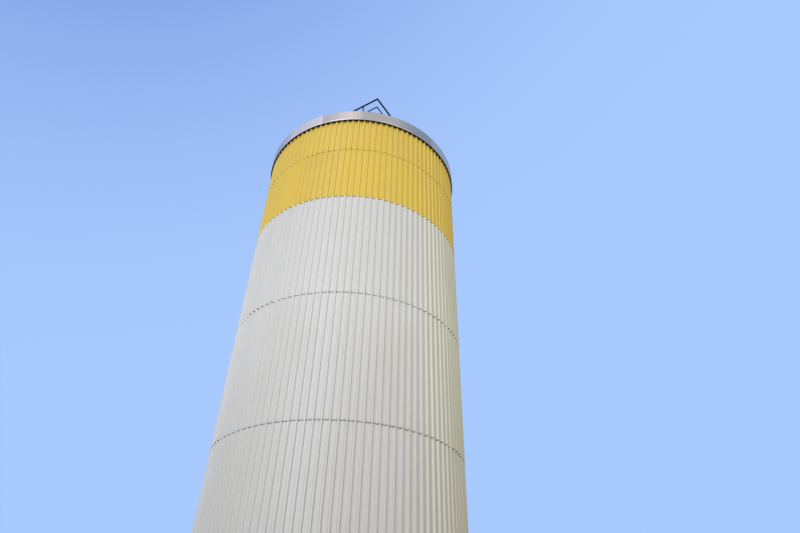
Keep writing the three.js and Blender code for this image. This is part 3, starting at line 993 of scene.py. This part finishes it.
# Hatch
# A manhole neck with a rolled flange, a dished lid that leaves a thin joint on it, eight swing bolts round
# it, a bent bar to lift it by and a hinge behind. Hot-dip galvanised steel, dulled by weather.
HATCH_FLANGE_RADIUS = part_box("hatch_neck")[1].x
HATCH_FLANGE_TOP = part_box("hatch_neck")[1].z
HATCH_FLANGE_FOOT = HATCH_FLANGE_TOP - 0.012
HATCH_NECK_BORE = HATCH_NECK_RADIUS - 0.008
HATCH_NECK_FOOT = roof_top(HATCH_NECK_RADIUS) - 0.004
HATCH_ARRIS = 0.0012
WELD_ROOT = HATCH_NECK_RADIUS - 0.002
WELD_TOE = HATCH_NECK_RADIUS + 0.012
WELD_TOE_RISE = 0.002
WELD_RISE = 0.016
LID_FOOT = HATCH_FLANGE_TOP + 0.0015
LID_TOP = HATCH_FLANGE_TOP + 0.012
LID_SHOULDER = 0.280
LID_RISE = 0.036
LID_RINGS = 8
LID_FACETS = 64
SWING_BOLTS = 8
SWING_BOLT = {"across": 0.018, "head": 0.010, "washer": 0.003, "washer_radius": 0.014}
SWING_BOLT_RADIUS = 0.3127
HANDLE_HALF = 0.072
HANDLE_BAR = 0.0075
HANDLE_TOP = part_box("hatch_cover")[1].z - HANDLE_BAR
HANDLE_BEND = 0.018
HANDLE_SUNK = 0.003
PIN_RADIUS = 0.011
PIN_LENGTH = 0.14
PIN_MIDDLE = (0, HATCH_FLANGE_RADIUS - 0.004, LID_TOP + 0.012)
PIN_ARRIS = 0.002
LUG_X = 0.045
LUG_Y = HATCH_FLANGE_RADIUS - 0.030
LUG_Z = LID_TOP + 0.010
LUG_SIZE = (0.012, 0.075, 0.024)
LUG_ARRIS = 0.003


def galvanised(name, light, dark, roughness, metallic=0.75):
    # Zinc that froze in flat crystals: a mottled grey spangle 10 to 20 mm across, gone matt and streaky
    # outdoors, a little darker where water has run.
    material, tree, place = start_material(name)
    spangle = add_node(tree, "TexVoronoi", {"Vector": place, "Scale": 70.0}).outputs["Color"]
    crystal = add_node(tree, "SeparateXYZ", {"Vector": spangle}).outputs["X"]
    cloud = add_node(tree, "TexNoise", {"Vector": place, "Scale": 5.0, "Detail": 5.0})
    mottle = add_node(tree, "Math", {0: crystal, 1: cloud}, operation="MULTIPLY")
    share = add_node(tree, "MapRange", {"Value": mottle, "From Min": 0.05, "From Max": 0.55})
    colour = add_node(tree, "MixRGB", {"Fac": share, "Color1": dark, "Color2": light})
    lustre = add_node(tree, "MapRange", {"Value": crystal, "To Min": roughness, "To Max": roughness + 0.14})
    relief = add_node(tree, "Bump", {"Height": cloud, "Strength": 0.2, "Distance": 0.001})
    return finish_material(material, {
        "Base Color": colour,
        "Metallic": metallic,
        "Roughness": lustre,
        "Normal": relief,
    })


def turned_body(section):
    """A closed body spun from a section that starts and ends on itself or on the axis."""
    draw_line([Vector((radius, 0, height)) for radius, height in section])
    spin_full(LID_FACETS)
    align_faces()
    return apply_place()


def break_edges(piece, width, segments=2):
    """Rounds a piece's sharp edges."""
    apply_modifier(piece, "BEVEL", width=width, segments=segments, limit_method="ANGLE")


def bent_bar(radius, half, foot, top, bend):
    """A round bar bent into a staple: up, over along X, and down."""
    add_disc(radius, (-half, 0, foot))
    extrude((0, 0, top - bend - foot))
    quarter = {"steps": 5, "angle": math.pi / 2, "axis": (0, 1, 0)}
    bpy.ops.mesh.spin(center=(bend - half, 0, top - bend), **quarter)
    extrude((2 * (half - bend), 0, 0))
    bpy.ops.mesh.spin(center=(half - bend, 0, top - bend), **quarter)
    extrude((0, 0, foot - top + bend))
    align_faces()
    return apply_place()


def block(middle, size):
    """A rectangular block about its middle."""
    bpy.ops.object.select_all(action="DESELECT")
    bpy.ops.mesh.primitive_cube_add(size=1, location=middle)
    bpy.ops.transform.resize(value=size)
    return apply_place()


def dish_height(radius):
    """The height of the lid's dish at a radius."""
    return LID_TOP + LID_RISE * (1 - (radius / LID_SHOULDER) ** 2)


zinc = galvanised("weathered_galvanised_steel", "#A3A7A9", "#73787B", 0.42)
neck = turned_body([
    (HATCH_NECK_BORE, HATCH_NECK_FOOT),
    (HATCH_NECK_RADIUS, HATCH_NECK_FOOT),
    (HATCH_NECK_RADIUS, HATCH_FLANGE_FOOT),
    (HATCH_FLANGE_RADIUS, HATCH_FLANGE_FOOT),
    (HATCH_FLANGE_RADIUS, HATCH_FLANGE_TOP),
    (HATCH_NECK_BORE, HATCH_FLANGE_TOP),
    (HATCH_NECK_BORE, HATCH_NECK_FOOT),
])
weld = turned_body([
    (WELD_ROOT, HATCH_NECK_FOOT),
    (WELD_TOE, HATCH_NECK_FOOT + WELD_TOE_RISE),
    (WELD_ROOT, HATCH_NECK_FOOT + WELD_RISE),
    (WELD_ROOT, HATCH_NECK_FOOT),
])
neck = join([neck, weld])
break_edges(neck, HATCH_ARRIS)
weighted_normals(neck)
hang(neck, "hatch_neck_flanged", zinc, "galvanised", "hatch_neck")

rings = [LID_SHOULDER * step / LID_RINGS for step in range(LID_RINGS + 1)]
lid = turned_body([
    *[(ring, dish_height(ring)) for ring in rings],
    (HATCH_FLANGE_RADIUS, LID_TOP),
    (HATCH_FLANGE_RADIUS, LID_FOOT),
    (0, LID_FOOT),
])
break_edges(lid, HATCH_ARRIS)
handle = bent_bar(HANDLE_BAR, HANDLE_HALF, dish_height(HANDLE_HALF) - HANDLE_SUNK, HANDLE_TOP, HANDLE_BEND)
bolt = hex_bolt(**SWING_BOLT)
bolts = []
for place in range(SWING_BOLTS):
    seat = on_bearing((place + 0.5) * 360 / SWING_BOLTS) * SWING_BOLT_RADIUS
    seat.z = LID_TOP
    bolts.append(placed(bolt, Matrix.Translation(seat)))
discard(bolt)
add_rod(20, PIN_RADIUS, PIN_LENGTH, PIN_MIDDLE, (0, math.pi / 2, 0))
pin = apply_place()
break_edges(pin, PIN_ARRIS)
lugs = []
for x in (-LUG_X, LUG_X):
    lug = block((x, LUG_Y, LUG_Z), LUG_SIZE)
    break_edges(lug, LUG_ARRIS)
    lugs.append(lug)
lid = join([lid, handle, pin, *lugs, *bolts])
weighted_normals(lid)
hang(lid, "hatch_lid", zinc, "galvanised", "hatch_cover")


# Platform beams and joists
# Hot-dip galvanised channels on six welded feet, bolted to the roof through square plates. The channels
# are already right, so they keep their solids; the bolts that hold their plates are added.
BEAM_NODES = [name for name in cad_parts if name.startswith("platform_")]
FOOT_X = (-1.25, 0.0, 1.25)
FOOT_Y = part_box("platform_beam_rear")[1].y - 0.025
FOOT_PLATE = 0.016
FOOT_BOLT = {"across": 0.019, "head": 0.011, "washer": 0.003, "washer_radius": 0.015}
FOOT_BOLT_OFFSETS = (-0.055, 0.055)

refinish(BEAM_NODES, zinc)
bolt = hex_bolt(**FOOT_BOLT)
bolts = []
for y in (-FOOT_Y, FOOT_Y):
    for x in FOOT_X:
        plate_top = roof_top(math.hypot(x, y)) + FOOT_PLATE
        for dx in FOOT_BOLT_OFFSETS:
            for dy in FOOT_BOLT_OFFSETS:
                bolts.append(placed(bolt, Matrix.Translation((x + dx, y + dy, plate_top))))
discard(bolt)
hang(join(bolts), "foot_bolts", zinc, "galvanised")


# Grating panels
# Pressure-locked bar grating: 30 by 3 mm bearing bars from joist to joist, light rods across them, and a
# flat bar welded round each panel's edge. Galvanised after welding.
BEARING_BAR = 0.003
BEARING_PITCH = 0.0343
CROSS_ROD = 0.0035
CROSS_PITCH = 0.076
EDGE_BAR = 0.005
BAR_ARRIS = 0.001


def flat_bar(low, high, arris=BAR_ARRIS):
    """A rectangular bar between two corners, with its long edges broken."""
    bar = block((low + high) / 2, high - low)
    if arris:
        break_edges(bar, arris, segments=1)
    return bar


def row(piece, count, step):
    """Makes a row of a piece."""
    apply_modifier(
        piece, "ARRAY", count=count, use_relative_offset=False, use_constant_offset=True,
        constant_offset_displace=step,
    )


def bar_grating(low, high):
    """A panel that fills the space between two corners."""
    count = round((high.y - low.y - 2 * EDGE_BAR) / BEARING_PITCH)
    pitch = (high.y - low.y - EDGE_BAR) / count
    first = Vector((low.x + EDGE_BAR, low.y + EDGE_BAR / 2 + pitch - BEARING_BAR / 2, low.z))
    bars = flat_bar(first, Vector((high.x - EDGE_BAR, first.y + BEARING_BAR, high.z)), arris=0)
    row(bars, count - 1, (0, pitch, 0))
    rod_count = round((high.x - low.x) / CROSS_PITCH)
    rod_pitch = (high.x - low.x - EDGE_BAR) / rod_count
    middle = (low.x + EDGE_BAR / 2 + rod_pitch, (low.y + high.y) / 2, high.z - CROSS_ROD)
    add_rod(6, CROSS_ROD, high.y - low.y - 2 * EDGE_BAR, middle, (math.pi / 2, 0, 0))
    rods = apply_place()
    row(rods, rod_count - 1, (rod_pitch, 0, 0))
    edges = []
    for y in (low.y, high.y - EDGE_BAR):
        edges.append(flat_bar(Vector((low.x, y, low.z)), Vector((high.x, y + EDGE_BAR, high.z))))
    for x in (low.x, high.x - EDGE_BAR):
        start = Vector((x, low.y + EDGE_BAR, low.z))
        edges.append(flat_bar(start, Vector((x + EDGE_BAR, high.y - EDGE_BAR, high.z))))
    return join([bars, rods, *edges])


dull_zinc = galvanised("dull_galvanised_grating", "#C3C6C6", "#9DA1A2", 0.55, 0.35)
for place in ("left", "right", "front", "rear"):
    panel = bar_grating(*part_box("grating_" + place))
    hang(panel, "bar_grating_" + place, dull_zinc, "galvanised", "grating_" + place)


# Guard rail
# Welded panels of near-black round tube, three rails high, with a toe plate inside the posts
# and a flat bracket bolted to the platform's edge under each post. The rails meet at the corners in sharp
# mitres, and the panels beside the rear gateway end on their posts.
DECK_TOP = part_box("grating_left")[1].z
RAIL_HALF_X = 1.481
RAIL_HALF_Y = 1.545
RAILS = ((0.400, 0.01685), (0.775, 0.01685), (1.145, 0.02415))
POST_RADIUS = 0.0185
POST_FOOT = 0.110
POST_TOP = 1.130
POST_ARRIS = 0.003
FRONT_POST_X = 0.991
SIDE_POST_Y = 0.795
GATEWAY_HALF = 0.380
BRACKET_HALF = 0.030
BRACKET_OUTER = -0.002
BRACKET_INNER = 0.0265
BRACKET_TOP = -0.030
BRACKET_ARRIS = 0.002
BRACKET_BOLT = {"across": 0.010, "head": 0.006, "washer": 0.002, "washer_radius": 0.008}
BRACKET_BOLT_X = (-0.023, 0.023)
BRACKET_BOLT_HEIGHTS = (-0.090, -0.050)
TOE_FACE = 0.0160
TOE_SKIN = 0.006
TOE_FOOT = 0.010
TOE_HEIGHT = 0.100
TUBE_SIDES = 20
TUBE_CREASE_DEG = 35
WELD_PROUD = 0.0025
WELD_SUNK = 0.97
TOP_WELD_SUNK = 0.002
MITRE_ROOM = 0.04

# Each panel is made along X with its outside towards -Y and its heights counted from the deck, then turned:
# half its side's length, where it starts and ends, its posts, and its turn in degrees.
SIDE_POSTS = (-SIDE_POST_Y, 0, SIDE_POST_Y)
PANELS = {
    "front": (RAIL_HALF_X, -RAIL_HALF_X, RAIL_HALF_X, (-FRONT_POST_X, 0, FRONT_POST_X), 0),
    "right": (RAIL_HALF_Y, -RAIL_HALF_Y, RAIL_HALF_Y, SIDE_POSTS, 90),
    "left": (RAIL_HALF_Y, -RAIL_HALF_Y, RAIL_HALF_Y, SIDE_POSTS, 270),
    "rear_left": (RAIL_HALF_X, GATEWAY_HALF, RAIL_HALF_X, (GATEWAY_HALF, FRONT_POST_X), 180),
    "rear_right": (RAIL_HALF_X, -RAIL_HALF_X, -GATEWAY_HALF, (-FRONT_POST_X, -GATEWAY_HALF), 180),
}


def mitre_ends(start, end, half):
    """In edit mode, cuts each end that lies on a corner off at 45 degrees and closes the cut."""
    for sign, at in ((-1, start), (1, end)):
        if at == sign * half:
            bpy.ops.mesh.select_all(action="SELECT")
            bpy.ops.mesh.bisect(
                plane_co=(sign * half, 0, 0), plane_no=(sign, 1, 0), use_fill=True, clear_outer=True,
            )


def past_corners(start, end, half, room):
    """The two ends, moved out past the corners by the room that a mitre takes."""
    return start - (room if start == -half else 0), end + (room if end == half else 0)


def rail_tube(radius, height, start, end, half):
    """A rail along X. An end that lies on a corner is mitred; one at the gateway is plain."""
    low, high = past_corners(start, end, half, 2 * radius)
    add_rod(TUBE_SIDES, radius, high - low, ((low + high) / 2, 0, height), (0, math.pi / 2, 0))
    bpy.ops.object.mode_set(mode="EDIT")
    mitre_ends(start, end, half)
    return apply_place()


def weld_bead(radius, where, turn=(0, 0, 0)):
    """A thin ring of weld round a tube where it meets another."""
    bpy.ops.object.select_all(action="DESELECT")
    bpy.ops.mesh.primitive_torus_add(
        major_radius=radius, minor_radius=WELD_PROUD, major_segments=20, minor_segments=6, location=where,
        rotation=turn,
    )
    return apply_place()


def toe_plate(start, end, half):
    """A flat bar on edge along the inside of the posts."""
    low, high = past_corners(start, end, half, MITRE_ROOM)
    lower = Vector((low, TOE_FACE, TOE_FOOT))
    edit(flat_bar(lower, Vector((high, TOE_FACE + TOE_SKIN, TOE_FOOT + TOE_HEIGHT))))
    mitre_ends(start, end, half)
    return apply_place()


def railing_post(x):
    """A post from its bracket up to the top rail, with the weld under the rail and round the mid rails."""
    add_rod(TUBE_SIDES, POST_RADIUS, POST_TOP + POST_FOOT, (x, 0, (POST_TOP - POST_FOOT) / 2))
    post = apply_place()
    break_edges(post, POST_ARRIS)
    lower = Vector((x - BRACKET_HALF, BRACKET_OUTER, -POST_FOOT))
    bracket = flat_bar(lower, Vector((x + BRACKET_HALF, BRACKET_INNER, BRACKET_TOP)), BRACKET_ARRIS)
    top_height, top_radius = RAILS[-1]
    welds = [weld_bead(POST_RADIUS, (x, 0, top_height - top_radius + TOP_WELD_SUNK))]
    for height, radius in RAILS[:-1]:
        for side in (-WELD_SUNK, WELD_SUNK):
            welds.append(weld_bead(radius, (x + side * POST_RADIUS, 0, height), (0, math.pi / 2, 0)))
    sideways = Matrix.Rotation(math.pi / 2, 4, "X")
    bolts = []
    for lift in BRACKET_BOLT_HEIGHTS:
        for aside in BRACKET_BOLT_X:
            seat = Matrix.Translation((x + aside, BRACKET_OUTER, lift))
            bolts.append(placed(bracket_bolt, seat @ sideways))
    return [post, bracket, *welds, *bolts]


# The tubes are coloured near black.
dark_zinc = galvanised("near_black_galvanised_tube", "#2E3032", "#1B1C1E", 0.5)
bracket_bolt = hex_bolt(**BRACKET_BOLT)
for place, (half, start, end, posts, turn_deg) in PANELS.items():
    pieces = [rail_tube(radius, height, start, end, half) for height, radius in RAILS]
    pieces.append(toe_plate(start, end, half))
    for x in posts:
        pieces += railing_post(x)
    panel = join(pieces)
    offset = RAIL_HALF_Y if turn_deg % 180 == 0 else RAIL_HALF_X
    turn = Matrix.Rotation(math.radians(turn_deg), 4, "Z")
    panel.data.transform(turn @ Matrix.Translation((0, -offset, DECK_TOP)))
    bpy.ops.object.shade_smooth_by_angle(angle=math.radians(TUBE_CREASE_DEG))
    hang(panel, "tube_rail_" + place, dark_zinc, "galvanised", "guardrail_" + place)
discard(bracket_bolt)


# Dressed silo's box
# The box round every shown piece but the floor is measured last.
low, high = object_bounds()
